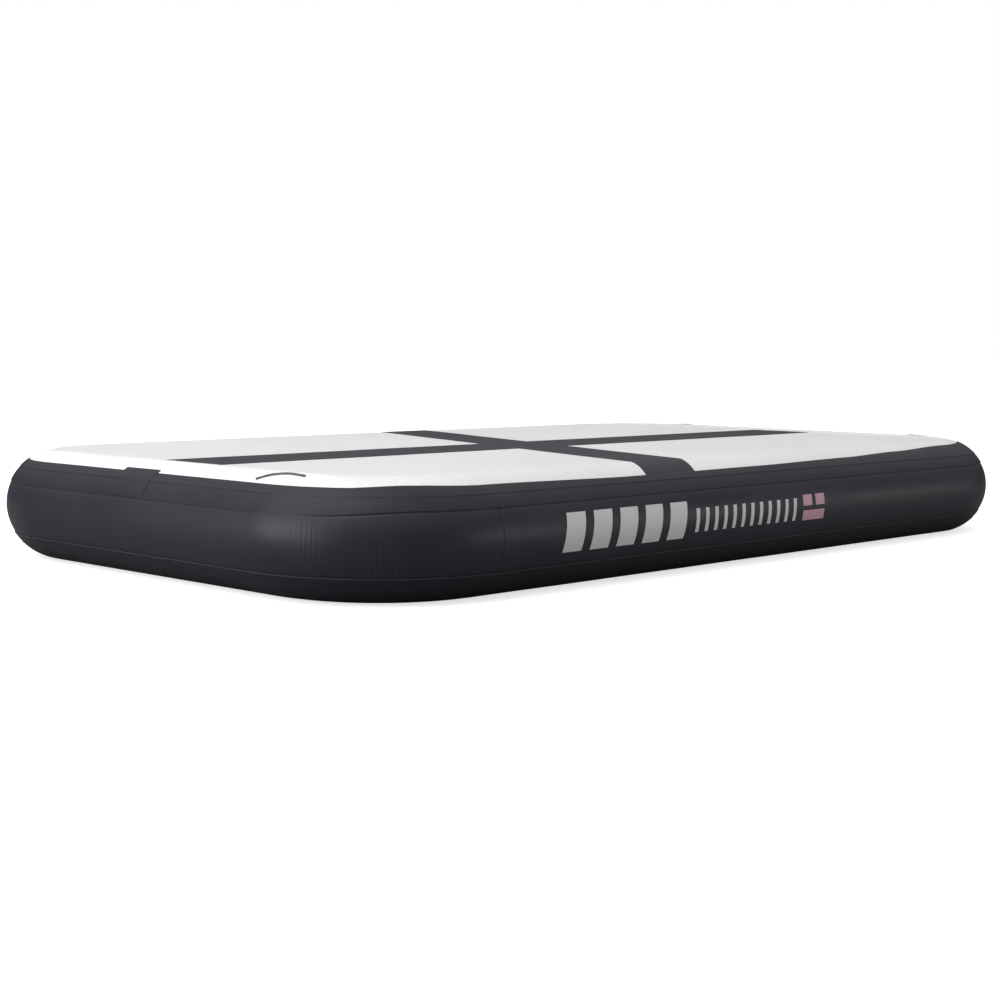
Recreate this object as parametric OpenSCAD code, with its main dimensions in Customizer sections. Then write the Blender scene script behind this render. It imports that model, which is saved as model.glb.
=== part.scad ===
// Small inflatable air track board: two coated cloth faces held flat by drop-stitch yarns,
// a round side wall, rail tapes over its seams, and a press-and-twist air valve.
// Frame: origin on the floor under the board's centre, +X along its length towards the
// valve, +Y across its width, +Z up through its thickness. Millimetres.

/* [Board] */
// Overall length of the inflated board
board_l = 1000; // [900:10:1400]
// Overall width
board_w = 600; // [560:10:900]
// Overall thickness, printed stripes included
board_t = 100; // [98:1:104]
// Corner radius of the outline
corner_r = 140; // [120:5:180]
// Half of the angle that the side wall's round profile spans
wall_half_angle = 82; // [80:1:84]

/* [Cloth and sheet] */
// Thickness of the outer sheets and of the outer side wall
sheet_t = 0.7; // [0.6:0.1:0.9]
// Thickness of the drop-stitch cloth and of the inner side wall
cloth_t = 0.5; // [0.4:0.1:0.7]
// Thickness of the rail tapes, laps and patches
tape_t = 0.6; // [0.5:0.1:0.8]
// Thickness of the stripes and of the smooth end bands
overlay_t = 0.3; // [0.2:0.05:0.4]
// Spacing of the drop-stitch yarns
yarn_pitch = 40; // [30:5:60]

/* [Markings] */
// Width of the stripe that runs along the board
long_stripe_w = 78; // [60:2:100]
// Place of its centre line across the board
long_stripe_y = -20; // [-40:5:40]
// Width of the stripe that crosses the board, measured along X
cross_stripe_w = 68; // [50:2:90]
// Angle that the cross stripe makes with the Y axis
cross_stripe_skew = 18; // [0:1:25]
// Place where the cross stripe's centre line crosses the board's centre line
cross_stripe_x = -35; // [-100:5:100]
// Width of the smooth band at the left end, seen from above
left_band_w = 50; // [40:2:100]
// Width of the smooth band at the valve end, seen from above
right_band_w = 90; // [40:2:100]

/* [Rail tapes] */
// Angle on the wall's profile where the upper tape's top edge lies
upper_tape_top = 55; // [53:1:60]
// Angle where the upper tape's lower edge lies
upper_tape_low = 30; // [28:1:33]
// Angle below the middle where the lower tape's top edge lies
lower_tape_top = 30; // [27:1:33]
// Angle below the middle where the lower tape ends underneath
lower_tape_low = 68; // [60:1:70]

/* [Valve] */
// Radius of the valve's flange
flange_r = 26.5; // [26.2:0.1:26.8]
// Radius of the well that the pump nozzle goes into
well_r = 16.5; // [16.3:0.1:16.8]
// Travel of the spring-loaded stem
stem_travel = 4.5; // [3:0.5:4.5]

/* [Hidden] */
$fn = 96;

glue = 0.1;                                   // film of glue between two layers
print_gap = 0.05;                             // the same under the thin overlays
deck_z = board_t - print_gap - overlay_t;     // height of the deck sheet's surface
wall_z = deck_z / 2;                          // height of the wall profile's centre
wall_r = wall_z / sin(wall_half_angle);       // radius of the wall's round profile
bulge = wall_r * (1 - cos(wall_half_angle));  // how far the wall stands out past the flat deck
half_l = board_l / 2 - corner_r;              // corner centres
half_w = board_w / 2 - corner_r;
profile_s = corner_r - wall_r;                // profile's centre, measured from a corner centre
long = 2 * board_l;                           // longer than anything in the model
cut = 1;                                      // how far a cutting solid runs past a face
join = 0.5;                                   // how far two solids of one piece run together

// Depths of the layers below the outer surface of the wall and of the deck
outer_depth = 0;
inner_depth = sheet_t + glue;
seam_depth = inner_depth + cloth_t + glue;
tape_depth = -(glue + tape_t);
overlay_depth = -(print_gap + overlay_t);

// Angles on the wall's profile where the hidden edges lie
deck_sheet_edge = 45;
wall_top_edge = 38;
wall_low_edge = 36;
cloth_edge = 60;
inner_wall_edge = 58;
seam_from = 50;
seam_to = 70;

// Overlays stop just short of the rail tape
overlay_edge = upper_tape_top + 0.5;
left_band_x = board_l / 2 - left_band_w;         // where the end bands begin
right_band_x = board_l / 2 - right_band_w;

// Valve: places along its axis, measured outwards from the flattened wall
seat_sink = 10.5;                             // how far the flattened wall lies inside the outline
seat_x = board_l / 2 - seat_sink;
seat_r = 27.5;                                // radius of the flattened wall
flare = 0.5;                                  // rise of the wall's flare per unit of radius
patch_r = 37.5;                               // radius of the patch that the valve is clamped to
notch_r = 38;                                 // round notch in the rail tapes for the patch
barrel_r = 20.5;
hole_r = 20.8;
gasket_a = glue + tape_t + 0.1;
gasket_t = 1;
flange_a = gasket_a + gasket_t + 0.1;
flange_t = 2;
flange_top = flange_a + flange_t;
well_floor = -15;
floor_t = 2;
barrel_end = -24;
stem_r = 2.5;
guide_r = 2.55;
spring_r = 4.8;
spring_wire = 0.7;
spring_turns = 5;
spring_solid = (spring_turns + 1) * spring_wire;
spring_spare = 1.3;                           // gap left in the spring when the stem is down
button_r = 7.5;
button_low = well_floor + spring_solid + spring_spare + stem_travel;
button_top = button_low + 2.5;
bar_top = button_top + 1.5;
seal_r = 15;
seal_hole_r = 3.2;
seal_t = 2.1;
seal_top = well_floor - floor_t - 0.05;
carrier_r = 12;
carrier_top = seal_top - seal_t - 0.1;
carrier_t = 2.6;
stem_head_top = carrier_top - carrier_t - 0.1;
stem_head_t = 2.4;
stem_head_r = 4.5;
neck_r = 18.6;
neck_low = flange_top + 0.6;
cap_low = neck_low + 1.4;
cap_top = seat_sink - 0.3;
cap_r = 23.5;
skirt_r = 15.6;
skirt_in_r = 13.2;
skirt_low = -5.5;
tether_t = 1.4;
cap_ring_a = flange_top + 0.25;
body_ring_low = flange_a + 0.1;
loop_r = 11;                                  // middle radius of the tether strap's loop
loop_w = 5;                                   // width of the strap
loop_z = 30;                                  // loop's centre, below the valve's axis

// ---- Profile and sweep ----

// Pie-shaped slice of the wall's profile between two angles, at a depth below the surface
module pie(depth, from, to) {
    reach = 2 * wall_r;
    mid = (from + to) / 2;
    translate([profile_s, wall_z])
        intersection() {
            circle(r = wall_r - depth);
            polygon([[0, 0], reach * [cos(from), sin(from)], reach * [cos(mid), sin(mid)],
                     reach * [cos(to), sin(to)]]);
        }
}

// Curved strip of the wall's profile, from one angle to another
module arc_strip(depth, thick, from, to) {
    difference() {
        pie(depth, from, to);
        translate([profile_s, wall_z]) circle(r = wall_r - depth - thick);
    }
}

// Sweeps a profile round the board's outline
module round_edge() {
    for (turn = [0, 180])
        rotate([0, 0, turn]) {
            translate([half_l, 0, 0])
                rotate([90, 0, 0]) linear_extrude(2 * half_w, center = true) children();
            rotate([0, 0, 90]) translate([half_w, 0, 0])
                rotate([90, 0, 0]) linear_extrude(2 * half_l, center = true) children();
            translate([half_l, half_w, 0]) rotate_extrude(angle = 90) children();
            rotate([0, 0, 90]) translate([half_w, half_l, 0])
                rotate_extrude(angle = 90) children();
        }
}

// Straight run of a profile along the end wall that holds the valve
module end_run(length) {
    translate([half_l, 0, 0]) rotate([90, 0, 0]) linear_extrude(length, center = true) children();
}

// Straight run of a profile along the front side, centred on x
module front_run(x, length) {
    translate([x, -half_w, 0]) rotate([0, 0, -90])
        rotate([90, 0, 0]) linear_extrude(length, center = true) children();
}

// Rounded rectangle, inset from the outline
module plan(inset) {
    square([2 * half_l, board_w - 2 * inset], center = true);
    square([board_l - 2 * inset, 2 * half_w], center = true);
    for (x = [-half_l, half_l], y = [-half_w, half_w])
        translate([x, y]) circle(r = corner_r - inset);
}

// Sheet over the whole deck that wraps over the shoulder down to an angle on the wall
module deck_layer(depth, thick, edge) {
    translate([0, 0, deck_z - depth - thick]) linear_extrude(thick)
        plan(bulge + depth * cos(wall_half_angle));
    round_edge() arc_strip(depth, thick, edge, wall_half_angle);
}

// The same part of the board, turned to the underside
module underside() {
    translate([0, 0, deck_z]) mirror([0, 0, 1]) children();
}

// ---- Valve helpers ----

// Places a solid of revolution on the valve's axis, pointing outwards
module on_valve() {
    translate([seat_x, 0, wall_z]) rotate([0, 90, 0]) children();
}

// Ring on the valve's axis between two places and two radii
module ring(r_in, r_out, low, high) {
    translate([0, 0, low])
        rotate_extrude() translate([r_in, 0]) square([r_out - r_in, high - low]);
}

// Space outside the pressed-in wall round the valve, at a depth below its surface
module pressed_in(depth) {
    depth_r = seat_r + depth * flare;
    on_valve() translate([0, 0, -depth])
        cylinder(r1 = depth_r, r2 = depth_r + 30 / flare, h = 30);
}

// Wall layer all round the board, pressed in flat where the valve's flange clamps it
module wall_layer(depth, thick, from, to) {
    spare = 4;
    difference() {
        round_edge() pie(depth, from, to);
        pressed_in(depth);
        difference() {
            round_edge() pie(depth + thick, from - spare, to + spare);
            pressed_in(depth + thick);
        }
        valve_hole();
    }
}

module valve_hole() {
    on_valve() cylinder(r = hole_r, h = 30, center = true);
}

// ---- Faces and inner structure ----

module deck_sheet() {
    color("whitesmoke") deck_layer(outer_depth, sheet_t, deck_sheet_edge);
}

module deck_base_cloth() {
    color("gainsboro") deck_layer(inner_depth, cloth_t, cloth_edge);
}

module bottom_sheet() {
    color("dimgray") underside() deck_layer(outer_depth, sheet_t, deck_sheet_edge);
}

module bottom_base_cloth() {
    color("gainsboro") underside() deck_layer(inner_depth, cloth_t, cloth_edge);
}

// Yarns that hold the two faces parallel under pressure
module drop_stitch_yarns() {
    yarn_r = 0.6;
    low = inner_depth + cloth_t;
    reach_x = board_l / 2 - bulge - 20;
    reach_y = board_w / 2 - bulge - 20;
    columns = floor(reach_x / yarn_pitch);
    rows = floor(reach_y / yarn_pitch);
    color("ivory")
        for (i = [-columns:columns], j = [-rows:rows])
            if (norm([max(abs(i) * yarn_pitch - half_l, 0), max(abs(j) * yarn_pitch - half_w, 0)])
                < corner_r - bulge - 15)
                translate([i * yarn_pitch, j * yarn_pitch, low])
                    cylinder(r = yarn_r, h = deck_z - 2 * low, $fn = 16);
}

module inner_side_wall() {
    color("silver") wall_layer(inner_depth, cloth_t, -inner_wall_edge, inner_wall_edge);
}

module upper_inner_seam_tape() {
    color("darkgray") round_edge() arc_strip(seam_depth, cloth_t, seam_from, seam_to);
}

module lower_inner_seam_tape() {
    color("darkgray") underside() round_edge() arc_strip(seam_depth, cloth_t, seam_from, seam_to);
}

// ---- Side wall, tapes and laps ----

module outer_side_wall() {
    color("#3a3b40") wall_layer(outer_depth, sheet_t, -wall_low_edge, wall_top_edge);
}

module rail_tape(from, to) {
    difference() {
        round_edge() arc_strip(tape_depth, tape_t, from, to);
        on_valve() cylinder(r = notch_r, h = 60, center = true);
    }
}

module upper_rail_tape() {
    color("#303136") rail_tape(upper_tape_low, upper_tape_top);
}

module lower_rail_tape() {
    color("#303136") rail_tape(-lower_tape_low, -lower_tape_top);
}

// Strip over the joint between two lengths of the side wall
module wall_joint_strip() {
    joint_x = -346;
    joint_w = 20;
    gap = 0.5;                                // angle left free at each rail tape
    front_run(joint_x, joint_w)
        arc_strip(tape_depth, tape_t, -lower_tape_top + gap, upper_tape_low - gap);
}

module front_joint_strip() {
    color("#2d2e33") wall_joint_strip();
}

module back_joint_strip() {
    color("#2d2e33") rotate([0, 0, 180]) wall_joint_strip();
}

// Lap where the upper tape's ends meet, on the end away from the valve
module upper_tape_lap() {
    lap_y = 12;
    lap_w = 49;
    lap_depth = tape_depth - glue - tape_t;
    stand = 4.5;                              // how far the lap's top stands past the tape's edge
    color("#2d2e33")
        translate([-half_l, lap_y, 0]) rotate([0, 0, 180])
            rotate([90, 0, 0]) linear_extrude(lap_w, center = true)
                arc_strip(lap_depth, tape_t, upper_tape_low + 1, upper_tape_top + stand);
}

// ---- Deck overlays and side marks ----

module end_band(start) {
    intersection() {
        deck_layer(overlay_depth, overlay_t, overlay_edge);
        translate([start, -long / 2, 0]) cube([long, long, 2 * board_t]);
    }
}

module right_end_band() {
    color("white") end_band(right_band_x);
}

module left_end_band() {
    color("white") rotate([0, 0, 180]) end_band(left_band_x);
}

module long_stripe_area(grow) {
    translate([-left_band_x, long_stripe_y - long_stripe_w / 2 - grow])
        square([left_band_x + right_band_x, long_stripe_w + 2 * grow]);
}

module long_stripe() {
    color("#4a4a50")
        translate([0, 0, board_t - overlay_t]) linear_extrude(overlay_t) long_stripe_area(-0.01);
}

// Skewed stripe that runs over both shoulders to the rail tapes
module cross_stripe() {
    lean = tan(cross_stripe_skew) * board_w / 2;
    half = cross_stripe_w / 2;
    color("#4a4a50")
        difference() {
            intersection() {
                deck_layer(overlay_depth, overlay_t, overlay_edge);
                linear_extrude(2 * board_t)
                    translate([cross_stripe_x, 0])
                        polygon([[-lean - half, -board_w / 2], [-lean + half, -board_w / 2],
                                 [lean + half, board_w / 2], [lean - half, board_w / 2]]);
            }
            linear_extrude(2 * board_t) long_stripe_area(0.01);
        }
}

// Row of plain printed bars on the front side wall
module side_bars(from_x, to_x, bars, gap, low, high) {
    pitch = (to_x - from_x + gap) / bars;
    for (i = [0:bars - 1])
        front_run(from_x + i * pitch + (pitch - gap) / 2, pitch - gap)
            arc_strip(overlay_depth, overlay_t, low, high);
}

module side_mark_bold() {
    color("lightgray") side_bars(-286, -127, 5, 8, -18, 19);
}

module side_mark_thin() {
    color("lightgray") side_bars(-115, 38, 12, 8, -13, 11);
}

module side_mark_small() {
    color("mistyrose") {
        side_bars(49, 84, 2, 6, 2, 14);
        side_bars(49, 84, 1, 0, -14, -3);
    }
}

// ---- Valve ----

module valve_patch() {
    half_angle = 50;
    spare = 4;
    color("#26272b")
        difference() {
            intersection() {
                end_run(2 * notch_r) pie(tape_depth, -half_angle, half_angle);
                on_valve() cylinder(r = patch_r, h = 60, center = true);
            }
            pressed_in(tape_depth);
            difference() {
                end_run(3 * notch_r)
                    pie(tape_depth + tape_t, -half_angle - spare, half_angle + spare);
                pressed_in(tape_depth + tape_t);
            }
            valve_hole();
        }
}

module valve_gasket() {
    color("black") on_valve() ring(hole_r + 0.1, flange_r - 1, gasket_a, gasket_a + gasket_t);
}

// Flange, threaded barrel and the floor that guides the stem and seats the poppet
module valve_body() {
    port_r = 3;
    port_pitch_r = 9.5;
    color("#1e1f22")
        on_valve()
            difference() {
                union() {
                    ring(well_r, flange_r, flange_a, flange_top);
                    ring(well_r, barrel_r, barrel_end, flange_a + flange_t / 2);
                    ring(guide_r, well_r + join, well_floor - floor_t, well_floor);
                }
                for (i = [0:5])
                    rotate([0, 0, 60 * i]) translate([port_pitch_r, 0, well_floor - floor_t - cut])
                        cylinder(r = port_r, h = floor_t + 2 * cut);
            }
}

module valve_backing_nut() {
    nut_top = -inner_depth - cloth_t - 0.1;
    nut_t = 6;
    nut_r = 26;
    notch = 2.4;                              // radius of the notches for the spanner
    color("#2b2c30")
        on_valve()
            difference() {
                ring(barrel_r + 0.05, nut_r, nut_top - nut_t, nut_top);
                for (i = [0:11])
                    rotate([0, 0, 30 * i]) translate([nut_r + cut, 0, nut_top - nut_t - cut])
                        cylinder(r = notch, h = nut_t + 2 * cut);
            }
}

// Button, cross bar, rod and retaining head in one moulding
module valve_stem() {
    bar_w = 3;
    bar_l = 11;
    color("dimgray")
        on_valve()
            union() {
                translate([0, 0, button_low]) cylinder(r = button_r, h = button_top - button_low);
                translate([0, 0, (button_top + bar_top - join) / 2])
                    cube([bar_w, bar_l, bar_top - button_top + join], center = true);
                translate([0, 0, stem_head_top - join])
                    cylinder(r = stem_r, h = button_low - stem_head_top + 2 * join);
                translate([0, 0, stem_head_top - stem_head_t]) cylinder(r = stem_head_r, h = stem_head_t);
            }
}

module poppet_seal() {
    color("gray") on_valve() ring(seal_hole_r, seal_r, seal_top - seal_t, seal_top);
}

module poppet_carrier() {
    color("silver")
        on_valve() ring(guide_r, carrier_r, carrier_top - carrier_t, carrier_top);
}

// Points of one ring of the spring's wire at a turn angle
function wire_ring(angle, sides, low, pitch) = [
    for (k = [0:sides - 1])
        let (a = 360 * k / sides, r = spring_r + spring_wire / 2 * cos(a))
        [r * cos(angle), r * sin(angle),
         low + pitch * angle / 360 + spring_wire / 2 * sin(a)]
];

module valve_spring() {
    sides = 8;
    steps = 20;
    rings = spring_turns * steps + 1;
    low = well_floor + spring_wire / 2 + 0.05;
    pitch = (button_low - well_floor - spring_wire - 0.1) / spring_turns;
    points = [for (i = [0:rings - 1]) each wire_ring(360 * i / steps, sides, low, pitch)];
    walls = [
        for (i = [0:rings - 2], k = [0:sides - 1])
            [i * sides + k, i * sides + (k + 1) % sides,
             (i + 1) * sides + (k + 1) % sides, (i + 1) * sides + k]
    ];
    start_cap = [for (k = [0:sides - 1]) sides - 1 - k];
    end_cap = [for (k = [0:sides - 1]) (rings - 1) * sides + k];
    color("silver") on_valve() polyhedron(points, concat(walls, [start_cap, end_cap]));
}

// Screw cap: skirt, neck and grip disc with two finger pockets
module valve_cap() {
    pocket_r = 17;
    pocket_depth = 2.6;
    grip_w = 8;
    hollow_top = cap_low + 0.2;
    scallop_r = 1.8;                          // hollows round the rim for the fingers
    color("#1e1f22")
        on_valve()
            difference() {
                union() {
                    translate([0, 0, cap_low]) cylinder(r = cap_r, h = cap_top - cap_low);
                    translate([0, 0, neck_low]) cylinder(r = neck_r, h = cap_low - neck_low + join);
                    translate([0, 0, skirt_low])
                        cylinder(r = skirt_r, h = neck_low - skirt_low + join);
                }
                translate([0, 0, skirt_low - cut])
                    cylinder(r = skirt_in_r, h = hollow_top - skirt_low + cut);
                translate([0, 0, cap_top - pocket_depth])
                    difference() {
                        cylinder(r = pocket_r, h = pocket_depth + cut);
                        cube([grip_w, 3 * pocket_r, 3 * pocket_depth], center = true);
                    }
                for (i = [0:17])
                    rotate([0, 0, 20 * i]) translate([cap_r + cut, 0, cap_low - cut])
                        cylinder(r = scallop_r, h = cap_top - cap_low + 2 * cut);
            }
}

module cap_seal() {
    color("black") on_valve() ring(skirt_r + 0.1, neck_r - 0.3, flange_top + 0.05, neck_low - 0.05);
}

// ---- Tether that keeps the cap on the board ----

module tether_body_ring() {
    post_w = 5;
    post_x = 25.9;
    color("#26272b")
        on_valve()
            union() {
                ring(flange_r + 0.2, flange_r + 2.6, body_ring_low, flange_top - 0.2);
                translate([post_x, -loop_r - post_w / 2, flange_top - 1.2])
                    cube([3, post_w, 1.2 + cap_ring_a - flange_top - 0.05]);
            }
}

module tether_cap_ring() {
    color("#26272b") on_valve() ring(neck_r + 0.3, 25, cap_ring_a, cap_ring_a + tether_t);
}

// Strap that loops down from the ring on the flange and back up to the ring on the cap
module tether_strap() {
    leg_top = 25.9;
    cap_leg_top = 23.5;
    color("#26272b")
        on_valve() translate([0, 0, cap_ring_a]) linear_extrude(tether_t) {
            translate([loop_z, 0])
                intersection() {
                    difference() {
                        circle(r = loop_r + loop_w / 2);
                        circle(r = loop_r - loop_w / 2);
                    }
                    translate([0, -long / 2]) square(long);
                }
            translate([leg_top, -loop_r - loop_w / 2]) square([loop_z - leg_top + 0.1, loop_w]);
            translate([cap_leg_top, loop_r - loop_w / 2])
                square([loop_z - cap_leg_top + 0.1, loop_w]);
        }
}

deck_sheet();
deck_base_cloth();
drop_stitch_yarns();
bottom_base_cloth();
bottom_sheet();
inner_side_wall();
upper_inner_seam_tape();
lower_inner_seam_tape();
outer_side_wall();
upper_rail_tape();
lower_rail_tape();
front_joint_strip();
back_joint_strip();
upper_tape_lap();
left_end_band();
right_end_band();
long_stripe();
cross_stripe();
side_mark_bold();
side_mark_thin();
side_mark_small();
valve_patch();
valve_gasket();
valve_body();
valve_backing_nut();
valve_spring();
valve_stem();
poppet_seal();
poppet_carrier();
valve_cap();
cap_seal();
tether_body_ring();
tether_strap();
tether_cap_ring();
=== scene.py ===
"""Looks of a small inflatable air track board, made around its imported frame.

The board is a flat core with a round side wall swept about it. A place on it is given either
unrolled, as if the deck's cloth lay flat past the shoulder, or on the wall, by its side, its
distance along that side and its angle on the wall's round section.
"""

import math

import bmesh
import bpy
from mathutils import Matrix, Vector, noise


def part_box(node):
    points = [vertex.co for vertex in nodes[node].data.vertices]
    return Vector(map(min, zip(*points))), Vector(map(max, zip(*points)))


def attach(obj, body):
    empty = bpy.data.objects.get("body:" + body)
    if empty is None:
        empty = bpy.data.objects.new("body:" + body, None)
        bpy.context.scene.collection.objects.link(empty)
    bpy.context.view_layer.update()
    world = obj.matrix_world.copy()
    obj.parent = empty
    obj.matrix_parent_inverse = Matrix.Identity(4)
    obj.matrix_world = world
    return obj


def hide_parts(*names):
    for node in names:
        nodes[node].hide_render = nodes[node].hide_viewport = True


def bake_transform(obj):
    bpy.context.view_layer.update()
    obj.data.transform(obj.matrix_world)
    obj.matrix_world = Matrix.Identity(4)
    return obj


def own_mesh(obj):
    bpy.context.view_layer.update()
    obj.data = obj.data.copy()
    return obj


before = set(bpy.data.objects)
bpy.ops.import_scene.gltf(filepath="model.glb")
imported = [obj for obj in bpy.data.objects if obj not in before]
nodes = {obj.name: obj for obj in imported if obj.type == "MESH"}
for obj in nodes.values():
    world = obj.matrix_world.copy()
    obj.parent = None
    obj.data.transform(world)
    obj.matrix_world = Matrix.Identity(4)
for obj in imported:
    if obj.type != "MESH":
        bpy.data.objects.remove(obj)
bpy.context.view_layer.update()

# ---------------------------------------------------------------- sizes, in metres

MM = 0.001
DEG = math.radians(1)
UP = Vector((0, 0, 1))
FULL = 2 * math.pi
HALF_TURN = Matrix.Rotation(math.pi, 3, "Z")

wall_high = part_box("outer_side_wall")[1]
DECK_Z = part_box("deck_sheet")[1].z
WALL_Z = DECK_Z / 2
WALL_ANGLE = 82 * DEG  # half of the angle that the wall's round section spans
WALL_R = WALL_Z / math.sin(WALL_ANGLE)
CORNER_R = 140 * MM
CORE_X = wall_high.x - CORNER_R  # corner centres
CORE_Y = wall_high.y - CORNER_R
SECTION_S = CORNER_R - WALL_R  # centre of the wall's section, out from the corner centres
FLAT_S = SECTION_S + WALL_R * math.cos(WALL_ANGLE)  # edge of the flat deck

SHEET = 0.7 * MM
TAPE = 0.6 * MM
PRINT = 0.3 * MM
TAPE_LIFT = 0.7 * MM  # outer face of a tape above the sheets
LAP_LIFT = 0.95 * MM
JOINT = 0.35 * MM  # the joint strips are pressed thin
JOINT_LIFT = 0.42 * MM
PRINT_LIFT = 0.35 * MM

# Edges on the wall's round section, as angles up from its middle
UPPER_TOP, UPPER_LOW = 55 * DEG, 30 * DEG
LOWER_TOP, LOWER_LOW = -31.5 * DEG, -68 * DEG
WALL_TOP, WALL_LOW = 38 * DEG, -36 * DEG
SHEET_END = 45 * DEG  # the deck and bottom sheets end here under the tapes
SHEET_EDGE = 44 * DEG  # and their edge begins to show through the tapes here

LEFT_BAND = -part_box("long_stripe")[0].x  # how far out the smooth bands begin
RIGHT_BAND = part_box("long_stripe")[1].x
JOINT_X = sum(c.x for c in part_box("front_joint_strip")) / 2
JOINT_W = 20 * MM

GASKET_FOOT = 0.8 * MM  # above the flattened wall: the patch and two films of glue
SEAT_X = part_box("valve_gasket")[0].x - GASKET_FOOT  # plane of the flattened wall round the valve
SEAT_R = 27.5 * MM
SEAT_REACH = 62 * MM  # the wall is drawn in no farther from the valve's axis than this
SEAT_FLARE = 0.5  # rise of the wall round the seat per unit of radius
HOLE_R = 20.8 * MM  # hole in the patch for the valve's barrel
WALL_HOLE_R = 22 * MM
PATCH_R = 37.5 * MM
NOTCH_R = PATCH_R + 0.15 * MM  # round notch in the rails for the patch

# ---------------------------------------------------------------- places on the board

SIDES = {
    "front": (Vector((0, -1, 0)), CORE_Y),
    "back": (Vector((0, 1, 0)), CORE_Y),
    "left": (Vector((-1, 0, 0)), CORE_X),
    "valve": (Vector((1, 0, 0)), CORE_X),
}


def from_core(co):
    """Nearest point of the core rectangle, the direction out from it and the distance."""
    core = Vector((max(-CORE_X, min(CORE_X, co.x)), max(-CORE_Y, min(CORE_Y, co.y)), 0))
    out = Vector((co.x, co.y, 0)) - core
    distance = out.length
    return core, out / distance if distance > 1e-9 else Vector((1, 0, 0)), distance


def wall_angle(co):
    return math.atan2(co.z - WALL_Z, from_core(co)[2] - SECTION_S)


def outward(co):
    """Direction out of the board's surface nearest to a point."""
    _, out, distance = from_core(co)
    if distance < FLAT_S:
        return UP if co.z > WALL_Z else -UP
    angle = wall_angle(co)
    return out * math.cos(angle) + UP * math.sin(angle)


def on_wall(side, along, angle, lift):
    """Point on a straight side of the wall."""
    out, core = SIDES[side]
    run = Vector((abs(out.y), abs(out.x), 0))
    reach = WALL_R + lift
    return run * along + out * (core + SECTION_S + reach * math.cos(angle)) + UP * (
        WALL_Z + reach * math.sin(angle)
    )


def draped(co):
    """Where an unrolled point of the deck comes to lie; its height is its lift."""
    core, out, distance = from_core(co)
    if distance <= FLAT_S:
        return Vector((co.x, co.y, DECK_Z + co.z))
    angle = WALL_ANGLE - (distance - FLAT_S) / WALL_R
    reach = WALL_R + co.z
    return core + out * (SECTION_S + reach * math.cos(angle)) + UP * (
        WALL_Z + reach * math.sin(angle)
    )


def unrolled(co):
    """The deck's or bottom's own cloth coordinates of a point."""
    core, out, distance = from_core(co)
    if distance > FLAT_S:
        distance = FLAT_S + (WALL_ANGLE - abs(wall_angle(co))) * WALL_R
    flat = core + out * distance
    return flat.x, flat.y


def round_outline(co, half):
    """The wall's own cloth coordinates: how far round the outline, and up the section."""
    core, out, _ = from_core(co)
    turn = abs(math.atan2(out.y, out.x))
    if turn < math.pi / 4:
        travel = abs(core.y)
    elif turn < 3 * math.pi / 4:
        travel = CORE_Y + CORE_X - core.x
    else:
        travel = 2 * CORE_Y + 2 * CORE_X - abs(core.y)
    return half * (CORNER_R * turn + travel), WALL_R * wall_angle(co)


def smooth(low, high, value):
    share = max(0.0, min(1.0, (value - low) / (high - low)))
    return share * share * (3 - 2 * share)


def hump(middle, width, value):
    """Soft bump of height 1 and of about that width."""
    return math.exp(-(((value - middle) / width) ** 2) * 4)


def corner_share(co):
    """0 on the straight sides, 1 at the middle of a corner."""
    _, out, distance = from_core(co)
    return abs(2 * out.x * out.y) ** 0.7 if distance > 1e-6 else 0.0


def give(co):
    """How far the cloth stands off its true shape: slow waves, and puckers at the corners."""
    slow = noise.noise(Vector((co.x, co.y, co.z)) * 14 + Vector((3.1, 7.7, 1.3)))
    _, out, distance = from_core(co)
    if distance < FLAT_S:
        return 0.13 * MM * slow
    angle = wall_angle(co)
    turn = math.atan2(out.y, out.x)
    wander = 2.2 * noise.noise(Vector((turn * 3, angle * 1.7, 4.2)))
    pucker = math.sin(turn * 58 + wander * 2) * corner_share(co) ** 2
    grip = smooth(80 * DEG, 40 * DEG, abs(angle))
    return MM * (0.2 * slow * (0.4 + 0.6 * grip) + 0.032 * pucker * grip)


def valve_radius(co):
    return math.hypot(co.y, co.z - WALL_Z)


def pressed(co, lift):
    """The wall round the valve, drawn in to the flat seat, with small puckers about it."""
    radius = valve_radius(co)
    if co.x < 0 or radius > SEAT_REACH:
        return co
    turn = math.atan2(co.z - WALL_Z, co.y)
    cone = SEAT_X + lift + max(0.0, radius - SEAT_R) * SEAT_FLARE
    cone += 0.22 * MM * math.sin(turn * 15) * hump(36 * MM, 16 * MM, radius)
    blend = 1.6 * MM
    share = max(0.0, min(1.0, 0.5 + 0.5 * (cone - co.x) / blend))
    inner = cone * (1 - share) + co.x * share - blend * share * (1 - share)
    return Vector((inner, co.y, co.z))


# ---------------------------------------------------------------- node trees


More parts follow.
